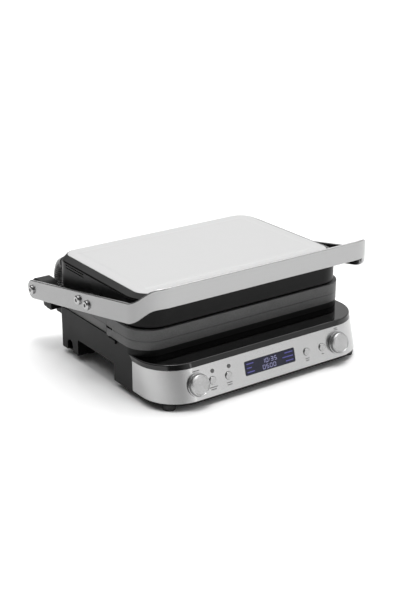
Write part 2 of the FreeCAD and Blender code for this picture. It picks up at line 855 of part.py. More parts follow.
def ribs(body, foot, top):
    """Parallel ribs from the front of the well to its back."""
    half_foot = S.rib_width / 2
    half_top = half_foot - 1.1
    reach = S.plate_half_width - 46
    count = 2 * int(number(reach) // number(S.rib_pitch)) + 1
    first = -S.rib_pitch * ((count - 1) / 2)
    length = S.plate_front + S.plate_rear - S.plate_wall * 2 - 14
    sketch = new_sketch(body, "XZ_Plane", -S.plate_rear + S.plate_wall + 7)
    into = (foot - top) * 0.15
    draw_outline(sketch, [(first - half_foot, foot + into, 0), (first - half_top, top, 0),
                          (first + half_top, top, 0), (first + half_foot, foot + into, 0)])
    rib = grow(body, "PartDesign::Pad", sketch, length)
    row = body.newObject("PartDesign::LinearPattern", body.Name + "_ribs")
    row.Originals = [rib]
    row.Direction = (sketch, ["H_Axis"])
    row.Occurrences = count
    bind(row, Length=S.rib_pitch * (count - 1))
    body.Tip = row


def finger_notch(body, low):
    """Shallow notch at the parting line in each end of the front band's flat side."""
    half = S.plate_half_width
    rear = -S.band_end + 1
    for side in (-1, 1):
        outer = (half + 1) * side
        inner = (half - 4) * side
        pocket(body, "XY_Plane", [(outer, rear - 15, 0), (inner, rear - 15, 0), (inner, rear, 0),
                                  (outer, rear, 0)], low, 2.1)


def heater_tray(label, flange, depth):
    """Bright tray under a plate: a flange and a well; depth is negative for a well that hangs."""
    body = new_body(label)
    sheet = fixed(0.8)
    well = block_outline(TRAY_HALF, -TRAY_FRONT, TRAY_REAR, 10.0, 10.0)
    inner = block_outline(TRAY_HALF - sheet, -TRAY_FRONT + sheet, TRAY_REAR - sheet, 9.2, 9.2)
    brim = block_outline(TRAY_HALF + 6, -TRAY_FRONT - 6, TRAY_REAR + 6, 12.0, 12.0)
    if number(depth) < 0:
        pad(body, "XY_Plane", brim, flange, sheet)
        pad(body, "XY_Plane", well, flange + depth, -depth + sheet)
        pocket(body, "XY_Plane", inner, flange + depth + sheet, -depth + 1)
    else:
        pad(body, "XY_Plane", brim, flange - sheet, sheet)
        pad(body, "XY_Plane", well, flange - sheet, depth + sheet)
        pocket(body, "XY_Plane", inner, flange - sheet - 1, depth + 1)
    return keep(body)


HEATER_RADIUS = 3.3


def rounded_path(points, share=0.45, radii=None):
    """Straight runs joined by tangent arcs; an arc's radius comes from its shorter run."""
    edges = []
    last = points[0]
    for index in range(1, len(points) - 1):
        here = points[index]
        back = points[index - 1] - here
        onward = points[index + 1] - here
        half = back.getAngle(onward) / 2
        cut = share * min(back.Length, onward.Length)
        if radii is not None:
            cut = radii[index - 1] / math.tan(half)
        start = here + back.normalize() * cut
        end = here + onward.normalize() * cut
        radius = cut * math.tan(half)
        middle = (back + onward).normalize()
        nearest = here + middle * (radius / math.sin(half) - radius)
        edges.append(Part.LineSegment(last, start).toShape())
        edges.append(Part.Arc(start, nearest, end).toShape())
        last = end
        print("bend radius %.1f" % radius)
    edges.append(Part.LineSegment(last, points[-1]).toShape())
    return Part.Wire(edges)


def tube(path, radius, bore=0.0):
    """Round section swept along a path of runs and tangent arcs."""
    start = path.Edges[0].Vertexes[0].Point
    heading = path.Edges[0].tangentAt(path.Edges[0].FirstParameter)
    solid = Part.Wire(path).makePipeShell(
        [Part.Wire(Part.makeCircle(radius, start, heading))], True, True)
    if bore:
        hollow = Part.Wire(path).makePipeShell(
            [Part.Wire(Part.makeCircle(bore, start, heading))], True, True)
        solid = solid.cut(hollow)
    return solid


def heater(label, height):
    """Tubular heating element bent to a U."""
    half = number(TRAY_HALF) - 22
    front = -number(TRAY_FRONT) + 20
    rear = number(TRAY_REAR) - 18
    level_z = number(height)
    points = [Vector(-half, rear, level_z), Vector(-half, front, level_z),
              Vector(half, front, level_z), Vector(half, rear, level_z)]
    element = DOCUMENT.addObject("Part::Feature", label)
    element.Label = label
    element.Shape = tube(rounded_path(points, radii=[24.0, 24.0]), HEATER_RADIUS)
    return keep(element)


def heater_clips(label, seat, height, facing):
    """Saddles that carry the element clear of its tray."""
    half = TRAY_HALF - 22
    gap = 0.1
    span = (height - seat) * facing - HEATER_RADIUS - gap
    low = seat if facing > 0 else seat - span
    saddles = [box("%s_%d" % (label, index), x - 5, y - 4, low, 10.0, 8.0, span)
               for index, (x, y) in enumerate(((-half, fixed(30)), (half, fixed(30)),
                                               (-half, fixed(-20)), (half, fixed(-20)),
                                               (fixed(0), -TRAY_FRONT + 20)))]
    return keep(group(label, saddles))


def sensor(label, low, high):
    """Temperature sensor that stands on the tray and reaches the back of its plate."""
    return keep(cylinder(label, 7.0, high - low, 0, 0, low))


def release_button(label, low, half):
    """Black thumb piece in the left wall that slides in to free a plate."""
    piece = box(label, -half - 2.6, -RELEASE_FRONT + S.seat_gap, low,
                fixed(12.0), RELEASE_FRONT - RELEASE_REAR - S.seat_gap * 2, 4.4)
    return keep(piece)


def lower_grill():
    tray_depth = fixed(-11.0)
    flange = S.base_top
    heater_tray("lower_heater_tray", flange, tray_depth)
    floor = flange + tray_depth + 0.8
    height = floor + 7.0
    heater("lower_heater", height)
    heater_clips("lower_heater_clips", floor, height, 1)
    face = LOWER_HIGH - 5.0
    sensor("lower_sensor", floor, face - S.floor_thick - 0.2)
    grill_plate("lower_plate", S.plate_low, LOWER_HIGH, 1)
    release_button("lower_release_button", RELEASE_LOW, S.base_half_width)


def upper_grill():
    tray_depth = fixed(11.0)
    flange = S.plate_high + 0.3
    heater_tray("upper_heater_tray", flange, tray_depth)
    floor = flange + tray_depth - 0.8
    height = floor - 7.0
    heater("upper_heater", height)
    heater_clips("upper_heater_clips", floor, height, -1)
    face = UPPER_LOW + 5.0
    sensor("upper_sensor", face + S.floor_thick + 0.2, floor)
    grill_plate("upper_plate", UPPER_LOW, S.plate_high, -1)
    release_button("upper_release_button", UPPER_RELEASE_LOW, S.lid_half_width)


# ---------------------------------------------------------------------------- lid
UPPER_RELEASE_LOW = S.lid_low + 2.3
LINER_THICK = 2.0
LID_POSTS_X = S.lid_half_width - 16
BRACKET_OUTER = S.lid_half_width - S.lid_wall - 0.2
BRACKET_SHEET = 2.5
SHELF_TOP = S.conduit_foot_z - 2
LID_PIN = fixed(3.0)
NUT_LENGTH = 3.6
SCREW_HEAD = fixed(6.4)
SCREW_PROUD = fixed(3.6)


def lid_outline(inset):
    return block_outline(S.lid_half_width - inset, -S.lid_front + inset, S.lid_rear - inset,
                         S.lid_corner - inset, S.lid_rear_corner - inset)


def lid_posts():
    return [(-LID_POSTS_X, fixed(-58)), (LID_POSTS_X, fixed(-58)),
            (-LID_POSTS_X, fixed(72)), (LID_POSTS_X, fixed(72))]


def guide_slot(radius, half):
    """Upright slot about the guide screw."""
    y = S.guide_y
    z = S.float_z
    return [(y - radius, z - half - radius, radius * 0.98), (y + radius, z - half - radius,
            radius * 0.98), (y + radius, z + half + radius, radius * 0.98),
            (y - radius, z + half + radius, radius * 0.98)]


def lid_shell():
    """Black lid housing: upright walls, a groove round the top and a bevel up to the cover."""
    body = new_body("lid_shell")
    half = S.lid_half_width
    wall = S.lid_wall
    waist = S.lid_waist
    seat = S.cover_top - S.cover_sheet
    pad(body, "XY_Plane", lid_outline(fixed(0)), S.lid_low, waist - S.lid_low)
    pad(body, "XY_Plane", lid_outline(fixed(2.2)), waist - 0.5, 2.1)
    lower = new_sketch(body, "XY_Plane", waist + 1.5)
    draw_outline(lower, lid_outline(fixed(1.4)))
    upper = new_sketch(body, "XY_Plane", seat)
    draw_outline(upper, block_outline(S.cover_half_width + 1.2, -S.cover_front - 1.2,
                                      S.cover_rear + 0.8, S.cover_corner + 1.2,
                                      S.cover_corner + 0.8))
    bevel = body.newObject("PartDesign::AdditiveLoft", "lid_bevel")
    bevel.Profile = lower
    bevel.Sections = [upper]
    bevel.Ruled = True
    pocket(body, "XY_Plane", lid_outline(wall), S.lid_low - 1, waist - wall - S.lid_low + 1)
    pocket(body, "XY_Plane", lid_outline(fixed(16)), waist - wall - 1, seat - waist + 2.0)
    # two vent slits high in each side wall, near the back
    for start in (-half - 1, half - wall - 1):
        for low in (waist - 6.6, waist - 3.0):
            pocket(body, "YZ_Plane", [(fixed(39), low, 0), (fixed(86), low, 0),
                                      (fixed(86), low + 1.6, 0), (fixed(39), low + 1.6, 0)],
                   start, wall + 2)
    drill(body, "YZ_Plane", [(S.float_y, S.float_z)], S.lid_bush_radius + 0.4,
          -half - 5, half * 2 + 10)
    pocket(body, "YZ_Plane", guide_slot(S.lid_bush_radius + 0.4, S.guide_slot_half),
           -half - 5, half * 2 + 10)
    pad_circles(body, "XY_Plane", lid_posts(), 4.0, S.lid_low + LINER_THICK,
                waist - wall - S.lid_low - LINER_THICK + 0.5)
    drill(body, "XY_Plane", lid_posts(), 1.55, S.lid_low, 16.0)
    pocket(body, "XY_Plane",
           [(-half - 2, -RELEASE_FRONT, 0), (-half + 14, -RELEASE_FRONT, 0),
            (-half + 14, -RELEASE_REAR, 0), (-half - 2, -RELEASE_REAR, 0)],
           UPPER_RELEASE_LOW - S.seat_gap, 4.4 + S.seat_gap * 2)
    drill(body, "XZ_Plane", [(-S.conduit_x, S.conduit_lid_z)], S.conduit_radius + 0.6,
          -S.lid_rear - 1, 12.0)
    return keep(body)


def lid_cover():
    """Pale metal sheet on top of the lid."""
    body = new_body("lid_cover")
    pad(body, "XY_Plane", block_outline(S.cover_half_width, -S.cover_front, S.cover_rear,
                                        S.cover_corner, S.cover_corner),
        S.cover_top - S.cover_sheet, S.cover_sheet)
    soften(body, S.cover_sheet - 0.3, level(S.cover_top))
    return keep(body)


def lid_liner():
    """Flat ring that closes the lid and carries the upper tray and plate."""
    body = new_body("lid_liner")
    pad(body, "XY_Plane", lid_outline(S.lid_wall + S.seat_gap), S.lid_low, LINER_THICK)
    neck = S.plate_high + S.seat_gap
    pad(body, "XY_Plane", lid_outline(fixed(8.0)), neck, S.lid_low - neck + 0.5)
    pocket(body, "XY_Plane",
           block_outline(TRAY_HALF + S.seat_gap, -TRAY_FRONT - S.seat_gap,
                         TRAY_REAR + S.seat_gap, 10.0, 10.0), neck - 1, 8.0)
    drill(body, "XY_Plane", lid_posts(), 1.9, neck - 1, 8.0)
    drill(body, "XY_Plane", lid_posts(), 3.5, neck - 1, 2.9)
    return keep(body)


def lid_fasteners():
    screw = screw_form("lid_screw", fixed(3.2), fixed(1.6), fixed(1.5), 14.0)
    seat = S.plate_high + S.seat_gap + 1.9
    spots = [(x, y, seat) for x, y in lid_posts()]
    return keep(copies("lid_screws", screw, spots, Rotation(Vector(1, 0, 0), 180)))


def lid_bracket():
    """Steel plate inside each side wall: a round hole for the pivot and a slot for the guide."""
    body = new_body("lid_bracket_form")
    low = S.lid_low + LINER_THICK + 0.2
    pad(body, "YZ_Plane", [(S.guide_y - 16, low, 0), (S.float_y + 16, low, 0),
                           (S.float_y + 16, S.float_z + 15, 6.0),
                           (S.guide_y - 16, S.float_z + 15, 6.0)],
        -BRACKET_OUTER, BRACKET_SHEET)
    drill(body, "YZ_Plane", [(S.float_y, S.float_z)], LID_PIN + S.running_gap,
          -BRACKET_OUTER - 1, BRACKET_SHEET + 2)
    pocket(body, "YZ_Plane", guide_slot(LID_PIN + 0.3, S.guide_slot_half),
           -BRACKET_OUTER - 1, BRACKET_SHEET + 2)
    keep(mirrored("lid_bracket_right", body))
    return keep(body, "lid_bracket_left")


# ---------------------------------------------------------------------------- handle and hinge
def arm_line(y):
    """Height of the arm's middle line."""
    return S.hinge_z + (S.hinge_y - y) * S.arm_slope


def round_long_edges(label, blank, radius, shortest):
    """Round the edges that run along a bent strip, but not the seams across it."""
    DOCUMENT.recompute()
    chosen = []
    for index, edge in enumerate(blank.Shape.Edges, start=1):
        extent = edge.BoundBox
        upright = extent.XLength < 0.01 and extent.YLength < 0.01
        straight = isinstance(edge.Curve, (Part.Line, Part.LineSegment))
        if not upright and not (straight and edge.Length < number(shortest)):
            chosen.append((index, radius.value, radius.value))
    strip = DOCUMENT.addObject("Part::Fillet", label)
    strip.Label = label
    strip.Base = blank
    strip.Edges = chosen
    return strip


def handle_strip():
    """One bent steel strip: two rising arms and a level front bar."""
    band = new_body("handle_plan")
    half = S.handle_half_width
    sheet = S.handle_sheet
    rear = S.hinge_y + S.arm_half_height
    front = -S.handle_front
    corner = S.handle_corner
    pad(band, "XY_Plane",
        [(-half, rear + 5, 0), (-half, front, corner), (half, front, corner), (half, rear + 5, 0),
         (half - sheet, rear + 5, 0), (half - sheet, front + sheet, corner - sheet),
         (-half + sheet, front + sheet, corner - sheet), (-half + sheet, rear + 5, 0)],
        40.0, 150.0)
    side = new_body("handle_side")
    reach = S.arm_half_height
    kink = -S.arm_kink
    end = reach * 0.95
    level_from = front + sheet + 2
    pad(side, "YZ_Plane",
        [(rear, arm_line(rear) - reach, end), (rear, arm_line(rear) + reach, end),
         (kink, arm_line(kink) + reach, 40.0), (level_from, S.bar_high, 12.0),
         (front - 5, S.bar_high, 0), (front - 5, S.bar_low, 0), (level_from, S.bar_low, 12.0),
         (kink, arm_line(kink) - reach, 40.0)], -half - 5, half * 2 + 10)
    blank = shared("handle_strip_blank", band, side)
    strip = round_long_edges("handle_strip_rounded", blank, S.handle_edge, sheet * 1.5)
    holes = []
    for index, (y, z, radius) in enumerate(((S.hinge_y, S.hinge_z, S.hinge_pin_radius + 0.15),
                                            (S.float_y, S.float_z, LID_PIN + 0.15),
                                            (S.guide_y, S.float_z, LID_PIN + 0.15))):
        holes.append(cylinder("strip_hole_%d" % index, radius, half * 2 + 20, -half - 10, y, z,
                              ALONG_X))
    return keep(cut_from("handle_strip", strip, joined("strip_holes", holes)))


def socket_screw(label, head, height, shank, length):
    """Round-head screw with a hexagon socket, along its own Z axis."""
    body = turned(label, [(0, -length, 0), (shank, -length, 0), (shank, 0, 0), (head, 0, 0),
                          (head - 0.2, height * 0.6, 0.6), (head * 0.72, height, 1.0),
                          (0, height, 0)])
    reach = head * 0.42
    corners = []
    for step in range(6):
        angle = math.radians(60 * step)
        corners.append((reach * math.cos(angle), reach * math.sin(angle), 0))
    pocket(body, "XY_Plane", corners, height * 0.35, height)
    return body


def ring(label, outer, inner, length, outward_face, y, z):
    """Ring about an axis along X on the left; outward_face is the distance of its outer face."""
    solid = cylinder(label + "_disc", outer, length, -outward_face, y, z, ALONG_X)
    hole = cylinder(label + "_bore", inner, length + 2, -outward_face - 1, y, z, ALONG_X)
    return cut_from(label, solid, hole)


def pivots():
    """Screws, nuts, bushes and washers of the main hinge and of the lid's side mounts."""
    outer = S.handle_half_width
    inner = outer - S.handle_sheet
    washer = inner - S.knuckle_outer - 0.2
    hinge = socket_screw("hinge_screw", SCREW_HEAD, SCREW_PROUD, S.hinge_pin_radius,
                         outer - S.knuckle_inner + NUT_LENGTH + 0.3)
    hinge.Placement = Placement(Vector(), AGAINST_X)
    place(hinge, -outer, S.hinge_y, S.hinge_z)
    keep(both_sides("hinge_screws", hinge))
    keep(both_sides("hinge_washers", ring("hinge_washer", fixed(10.0), S.hinge_pin_radius + 0.3,
                                          washer, inner - 0.1, S.hinge_y, S.hinge_z)))
    keep(both_sides("hinge_nuts", ring("hinge_nut", fixed(6.6), S.hinge_pin_radius + 0.03,
                                       fixed(NUT_LENGTH), S.knuckle_inner - 0.3, S.hinge_y,
                                       S.hinge_z)))
    keep(both_sides("hinge_bushes", ring("hinge_bush", fixed(6.0),
                                         S.hinge_pin_radius + S.running_gap,
                                         S.knuckle_outer - S.knuckle_inner, S.knuckle_outer,
                                         S.hinge_y, S.hinge_z)))
    depth = outer - (BRACKET_OUTER - BRACKET_SHEET) + NUT_LENGTH + 0.3
    bush = inner - BRACKET_OUTER - 0.3
    for name, y in (("pivot", S.float_y), ("guide", S.guide_y)):
        screw = socket_screw("lid_%s_screw" % name, SCREW_HEAD, SCREW_PROUD, LID_PIN, depth)
        screw.Placement = Placement(Vector(), AGAINST_X)
        place(screw, -outer, y, S.float_z)
        keep(both_sides("lid_%s_screws" % name, screw))
        keep(both_sides("lid_%s_bushes" % name,
                        ring("lid_%s_bush" % name, S.lid_bush_radius, LID_PIN + 0.03, bush,
                             inner - 0.05, y, S.float_z)))
        keep(both_sides("lid_%s_nuts" % name,
                        ring("lid_%s_nut" % name, fixed(5.4), LID_PIN + 0.03, fixed(NUT_LENGTH),
                             BRACKET_OUTER - BRACKET_SHEET - 0.2, y, S.float_z)))


def hinge_bracket(label, with_shelf):
    """Knuckle on the base: a barrel round the hinge axis, a web and a tongue into the base."""
    body = new_body(label)
    reach = S.knuckle_radius
    face = S.base_rear + 0.3
    top = S.hinge_z + reach
    web_low = S.base_top - 6
    web_rear = face + 23
    pad(body, "YZ_Plane",
        [(face, web_low, 1.5), (web_rear, web_low, 4.0), (web_rear, S.hinge_z - 8, 2.0),
         (S.hinge_y, S.hinge_z - 8, 0), (S.hinge_y, top, 0),
         (S.hinge_y - reach, top, reach * 0.8), (face, S.base_top + 7, 1.5)],
        -S.knuckle_outer, S.knuckle_outer - S.knuckle_inner)
    pad_circles(body, "YZ_Plane", [(S.hinge_y, S.hinge_z)], reach, -S.knuckle_outer,
                S.knuckle_outer - S.knuckle_inner)
    soften(body, fixed(1.5), across_x_face(-S.knuckle_outer))
    pad(body, "YZ_Plane",
        [(face - 22, TONGUE_LOW, 0), (face + 14, TONGUE_LOW, 0), (face + 14, TONGUE_HIGH, 0),
         (face - 22, TONGUE_HIGH, 0)], -TONGUE_OUTER, TONGUE_OUTER - TONGUE_INNER)
    # bridge that keeps knuckle and tongue in one piece wherever the two stand
    outer = largest(S.knuckle_outer, TONGUE_OUTER)
    inner = smallest(S.knuckle_inner, TONGUE_INNER)
    pad(body, "YZ_Plane",
        [(face, web_low, 1.5), (face + 14, web_low, 0), (face + 14, TONGUE_HIGH, 0),
         (face, TONGUE_HIGH, 0)], -outer, outer - inner)
    drill(body, "YZ_Plane", [(S.hinge_y, S.hinge_z)], fixed(6.03), -S.knuckle_outer - 1,
          S.knuckle_outer - S.knuckle_inner + 2)
    if with_shelf:
        pad(body, "YZ_Plane",
            [(face, S.base_top - 8, 0), (S.hinge_y + 6, S.base_top - 8, 6.0),
             (S.hinge_y + 6, SHELF_TOP, 2.0), (face, SHELF_TOP, 0)],
            -S.knuckle_inner - 1, S.knuckle_inner + 1 - S.conduit_x + 11)
    return body


def across_x_face(x):
    """Edges that lie in the plane at one x."""
    def wanted(edge):
        box_of_edge = edge.BoundBox
        return (abs(box_of_edge.XMin - number(x)) < 0.01
                and abs(box_of_edge.XMax - number(x)) < 0.01)
    return wanted


def hinge_brackets():
    keep(hinge_bracket("hinge_bracket_left", True))
    keep(mirrored("hinge_bracket_right", hinge_bracket("hinge_bracket_plain", False)))


# ---------------------------------------------------------------------------- wire conduit
SLEEVE_LENGTH = 6.0
SLEEVE_WALL = 1.8
SLEEVE_GAP = 0.4


def conduit_points():
    """Route of the conduit: up past the hinge axis and over into the back of the lid."""
    x = -number(S.conduit_x)
    foot_y = number(S.conduit_foot_y)
    foot_z = number(S.conduit_foot_z)
    lid_y = number(S.lid_rear)
    lid_z = number(S.conduit_lid_z)
    return [Vector(x, foot_y, foot_z), Vector(x, foot_y + 7, foot_z + 20),
            Vector(x, foot_y + 1, foot_z + 41), Vector(x, lid_y + 1.5, lid_z)]


def wire_conduit():
    """Corrugated hose that takes the heater wires from the base to the lid."""
    points = conduit_points()
    path = rounded_path(points)
    radius = number(S.conduit_radius)
    bore = number(S.conduit_bore)
    hose = DOCUMENT.addObject("Part::Feature", "wire_conduit")
    hose.Label = "wire_conduit"
    hose.Shape = tube(path, radius, bore)
    expected = math.pi * (radius ** 2 - bore ** 2) * path.Length
    print("conduit length %.1f, volume over expected %.4f"
          % (path.Length, hose.Shape.Volume / expected))
    keep(hose)
    sleeve_ends = [("conduit_socket", points[0], points[1], below_shelf()),
                   ("conduit_collar", points[-1], points[-2], ahead_of_lid_rear())]
    for name, spot, other, keep_out in sleeve_ends:
        heading = (other - spot).normalize()
        start = spot - heading * SLEEVE_LENGTH
        reach = SLEEVE_LENGTH * 2
        sleeve = Part.makeCylinder(radius + SLEEVE_WALL, reach, start, heading)
        hollow = Part.makeCylinder(radius + SLEEVE_GAP, reach + 2, start - heading, heading)
        piece = DOCUMENT.addObject("Part::Feature", name)
        piece.Label = name
        piece.Shape = sleeve.cut(hollow).cut(keep_out)
        keep(piece)


def below_shelf():
    """Space under the shelf's top, which the socket does not enter."""
    top = number(SHELF_TOP)
    return Part.makeBox(500, 500, 100, Vector(-250, -100, top - 100))


def ahead_of_lid_rear():
    """Space in front of the lid's rear face, which the collar does not enter."""
    face = number(S.lid_rear) + number(S.seat_gap)
    return Part.makeBox(500, 300, 300, Vector(-250, face - 300, 0))


# ---------------------------------------------------------------------------- assembly
def build():
    holes = panel_holes()
    base_housing(holes)
    front_panel(holes)
    deck_trim()
    base_pan()
    base_fasteners()
    feet()
    cord_gland()
    controls()
    power_board()
    lower_grill()
    hinge_brackets()
    handle_strip()
    pivots()
    lid_shell()
    lid_cover()
    lid_liner()
    lid_fasteners()
    lid_bracket()
    upper_grill()
    wire_conduit()


def check():
    """Stop if any object failed, or if a node's shape is missing or not valid."""
    DOCUMENT.recompute()
    failed = [item.Name for item in DOCUMENT.Objects
              if "Invalid" in item.State or "Error" in item.State]
    if failed:
        raise RuntimeError("failed objects: " + ", ".join(failed))
    for piece in NODES:
        if piece.Shape.isNull() or not piece.Shape.isValid():
            raise RuntimeError("bad shape: " + piece.Label)


def write():
    os.makedirs("parts", exist_ok=True)
    for piece in NODES:
        piece.Shape.exportStep(os.path.join("parts", piece.Label + ".step"))
        print("%-24s %d solids  %9.1f mm3" % (piece.Label, len(piece.Shape.Solids),
                                              piece.Shape.Volume))


build()
check()
write()
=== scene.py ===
# Contact grill, closed, on a plain pale floor under soft studio light.
# Metres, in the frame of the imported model: +X is the user's right, -Y faces the user, +Z is up.
import json
import math

import bpy
from mathutils import Matrix, Vector


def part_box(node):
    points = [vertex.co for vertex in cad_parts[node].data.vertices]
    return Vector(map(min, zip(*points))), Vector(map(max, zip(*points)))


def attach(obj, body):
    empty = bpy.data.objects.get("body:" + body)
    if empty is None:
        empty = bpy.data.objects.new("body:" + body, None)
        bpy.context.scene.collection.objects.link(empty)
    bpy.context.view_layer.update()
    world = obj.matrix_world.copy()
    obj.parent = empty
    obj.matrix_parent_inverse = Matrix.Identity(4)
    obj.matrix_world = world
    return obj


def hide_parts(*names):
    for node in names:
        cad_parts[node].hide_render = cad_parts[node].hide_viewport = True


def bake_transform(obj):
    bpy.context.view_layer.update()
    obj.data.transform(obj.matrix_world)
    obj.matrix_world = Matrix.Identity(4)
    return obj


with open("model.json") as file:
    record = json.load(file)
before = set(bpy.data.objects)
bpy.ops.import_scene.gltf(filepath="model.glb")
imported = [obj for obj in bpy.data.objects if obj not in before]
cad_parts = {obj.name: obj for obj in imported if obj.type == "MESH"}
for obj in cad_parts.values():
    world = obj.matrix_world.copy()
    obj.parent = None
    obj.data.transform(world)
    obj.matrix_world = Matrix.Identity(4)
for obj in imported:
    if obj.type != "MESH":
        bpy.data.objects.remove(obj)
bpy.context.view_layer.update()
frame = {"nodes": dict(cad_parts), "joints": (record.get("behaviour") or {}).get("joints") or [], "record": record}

MM = 0.001
NODES = frame["nodes"]


# ---------------------------------------------------------------------------- materials
class Look:
    """A principled material, with short ways to drive it from procedural textures."""

    def __init__(self, name, colour, roughness, metallic=0.0, **inputs):
        self.material = bpy.data.materials.new(name)
        self.material.use_nodes = True
        self.tree = self.material.node_tree
        self.shader = self.tree.nodes["Principled BSDF"]
        self.shader.inputs["Base Color"].default_value = (*colour, 1.0)
        self.shader.inputs["Roughness"].default_value = roughness
        self.shader.inputs["Metallic"].default_value = metallic
        for socket, value in inputs.items():
            self.shader.inputs[socket.replace("_", " ")].default_value = value

    def link(self, source, target):
        self.tree.links.new(source, target)

    def place(self, stretch=(1.0, 1.0, 1.0), turn=(0.0, 0.0, 0.0)):
        """Coordinates in metres, stretched and turned."""
        coordinates = self.tree.nodes.new("ShaderNodeTexCoord")
        mapping = self.tree.nodes.new("ShaderNodeMapping")
        mapping.inputs["Scale"].default_value = stretch
        mapping.inputs["Rotation"].default_value = turn
        self.link(coordinates.outputs["Object"], mapping.inputs["Vector"])
        return mapping.outputs["Vector"]

    def noise(self, scale, detail=3.0, stretch=(1.0, 1.0, 1.0), turn=(0.0, 0.0, 0.0)):
        texture = self.tree.nodes.new("ShaderNodeTexNoise")
        texture.inputs["Scale"].default_value = scale
        texture.inputs["Detail"].default_value = detail
        self.link(self.place(stretch, turn), texture.inputs["Vector"])
        return texture.outputs["Fac"]

    def spread(self, source, low, high, low_in=0.3, high_in=0.7):
        """Map a range of the source, by default the usable part of a noise, to another range."""
        node = self.tree.nodes.new("ShaderNodeMapRange")
        node.inputs["From Min"].default_value = low_in
        node.inputs["From Max"].default_value = high_in
        node.inputs["To Min"].default_value = low
        node.inputs["To Max"].default_value = high
        self.link(source, node.inputs["Value"])
        return node.outputs["Result"]

    def vary_roughness(self, source, low, high):
        self.link(self.spread(source, low, high), self.shader.inputs["Roughness"])

    def vary_colour(self, source, dark, light):
        node = self.tree.nodes.new("ShaderNodeMix")
        node.data_type = "RGBA"
        node.inputs["A"].default_value = (*dark, 1.0)
        node.inputs["B"].default_value = (*light, 1.0)
        self.link(self.spread(source, 0.0, 1.0), node.inputs["Factor"])
        self.link(node.outputs["Result"], self.shader.inputs["Base Color"])

    def bump(self, source, strength, depth):
        node = self.tree.nodes.new("ShaderNodeBump")
        node.inputs["Strength"].default_value = strength
        node.inputs["Distance"].default_value = depth
        self.link(source, node.inputs["Height"])
        previous = self.shader.inputs["Normal"]
        if previous.is_linked:
            self.link(previous.links[0].from_socket, node.inputs["Normal"])
        self.link(node.outputs["Normal"], self.shader.inputs["Normal"])


def grey(value):
    return (value, value, value)


def moulded_plastic(name, level, roughness, grain=0.25, gloss=0.5):
    """Black moulded plastic with a fine spark-eroded grain and slow changes of sheen."""
    look = Look(name, grey(level), roughness, Specular_IOR_Level=gloss)
    look.vary_roughness(look.noise(9.0), roughness - 0.05, roughness + 0.06)
    look.vary_colour(look.noise(60.0, 4.0), grey(level * 0.88), grey(level * 1.12))
    look.bump(look.noise(2600.0, 2.0), grain, 0.04 * MM)
    return look


def gloss_plastic(name, level):
    """Glossy black with a faint orange peel and a trace of wiping marks."""
    look = Look(name, grey(level), 0.07)
    look.vary_colour(look.noise(60.0, 4.0), grey(level * 0.8), grey(level * 1.2))
    look.vary_roughness(look.noise(30.0, 6.0), 0.05, 0.10)
    look.bump(look.noise(220.0, 1.0), 0.03, 0.05 * MM)
    return look


def brushed_metal(name, level, roughness, across):
    """Metal brushed along level lines; across scales the pattern along x, y and z."""
    upright = 0.25               # part of a turn from the default tangent to the vertical
    look = Look(name, (level, level, level * 0.992), roughness, metallic=1.0,
                Anisotropic=0.7, Anisotropic_Rotation=upright)
    lines = look.noise(1.0, 5.0, across)
    look.vary_roughness(lines, roughness - 0.015, roughness + 0.02)
    look.vary_colour(lines, grey(level * 0.975), grey(level * 1.02))
    look.bump(lines, 0.02, 0.005 * MM)
    return look


def strip_metal_with_painted_shade(name, bar_level, arm_shade_level):
    """Brushed strip with painted shade on the side arms: their colour is made a little darker than the front bar's
    by position, standing in for dimmer reflections there.
    """
    bar_end = 0.160
    arm_start = 0.181
    look = brushed_metal(name, bar_level, 0.25, (5.0, 5.0, LINES))
    split = look.tree.nodes.new("ShaderNodeSeparateXYZ")
    look.link(look.place(), split.inputs["Vector"])
    away = look.tree.nodes.new("ShaderNodeMath")
    away.operation = "ABSOLUTE"
    look.link(split.outputs["X"], away.inputs[0])
    arm_shade_mask = look.spread(away.outputs["Value"], 0.0, 1.0, bar_end, arm_start)
    # painted shade: the base colour is multiplied darker along the side arms, by distance from the middle
    arm_shade_tint = look.tree.nodes.new("ShaderNodeMix")
    arm_shade_tint.data_type = "RGBA"
    arm_shade_tint.blend_type = "MULTIPLY"
    arm_shade_tint.inputs["B"].default_value = (*grey(arm_shade_level / bar_level), 1.0)
    look.link(arm_shade_mask, arm_shade_tint.inputs["Factor"])
    look.link(look.shader.inputs["Base Color"].links[0].from_socket, arm_shade_tint.inputs["A"])
    look.link(arm_shade_tint.outputs["Result"], look.shader.inputs["Base Color"])
    return look


def satin_metal(name, level, roughness):
    look = Look(name, grey(level), roughness, metallic=1.0)
    look.vary_roughness(look.noise(40.0, 4.0), roughness - 0.04, roughness + 0.05)
    look.bump(look.noise(1500.0, 2.0), 0.10, 0.01 * MM)
    return look


def turned_metal(name, level, roughness):
    """Metal turned on a lathe: its fine rings stretch reflections into bright sectors."""
    look = Look(name, grey(level), roughness, metallic=1.0, Anisotropic=0.85)
    tangent = look.tree.nodes.new("ShaderNodeTangent")
    tangent.direction_type = "RADIAL"
    tangent.axis = "Z"
    look.link(tangent.outputs["Tangent"], look.shader.inputs["Tangent"])
    look.vary_colour(look.noise(500.0, 3.0), grey(level * 0.94), grey(level * 1.04))
    return look


def cast_coating(name):
    """Dark grey non-stick coating on a casting: fine pebbles and a few pale specks."""
    look = Look(name, grey(0.066), 0.42, metallic=0.25)
    look.vary_roughness(look.noise(25.0, 5.0), 0.38, 0.50)
    look.vary_colour(look.noise(900.0, 3.0), grey(0.054), grey(0.080))
    look.bump(look.noise(1100.0, 3.0), 0.25, 0.05 * MM)
    return look


def pale_cover(name):
    """Satin silver-white finish on the lid's sheet."""
    look = Look(name, grey(0.46), 0.40, metallic=0.10, Coat_Weight=0.05, Coat_Roughness=0.3)
    look.vary_roughness(look.noise(12.0, 4.0), 0.37, 0.45)
    look.vary_colour(look.noise(1400.0, 2.0), grey(0.45), grey(0.47))
    look.bump(look.noise(1800.0, 2.0), 0.06, 0.02 * MM)
    return look


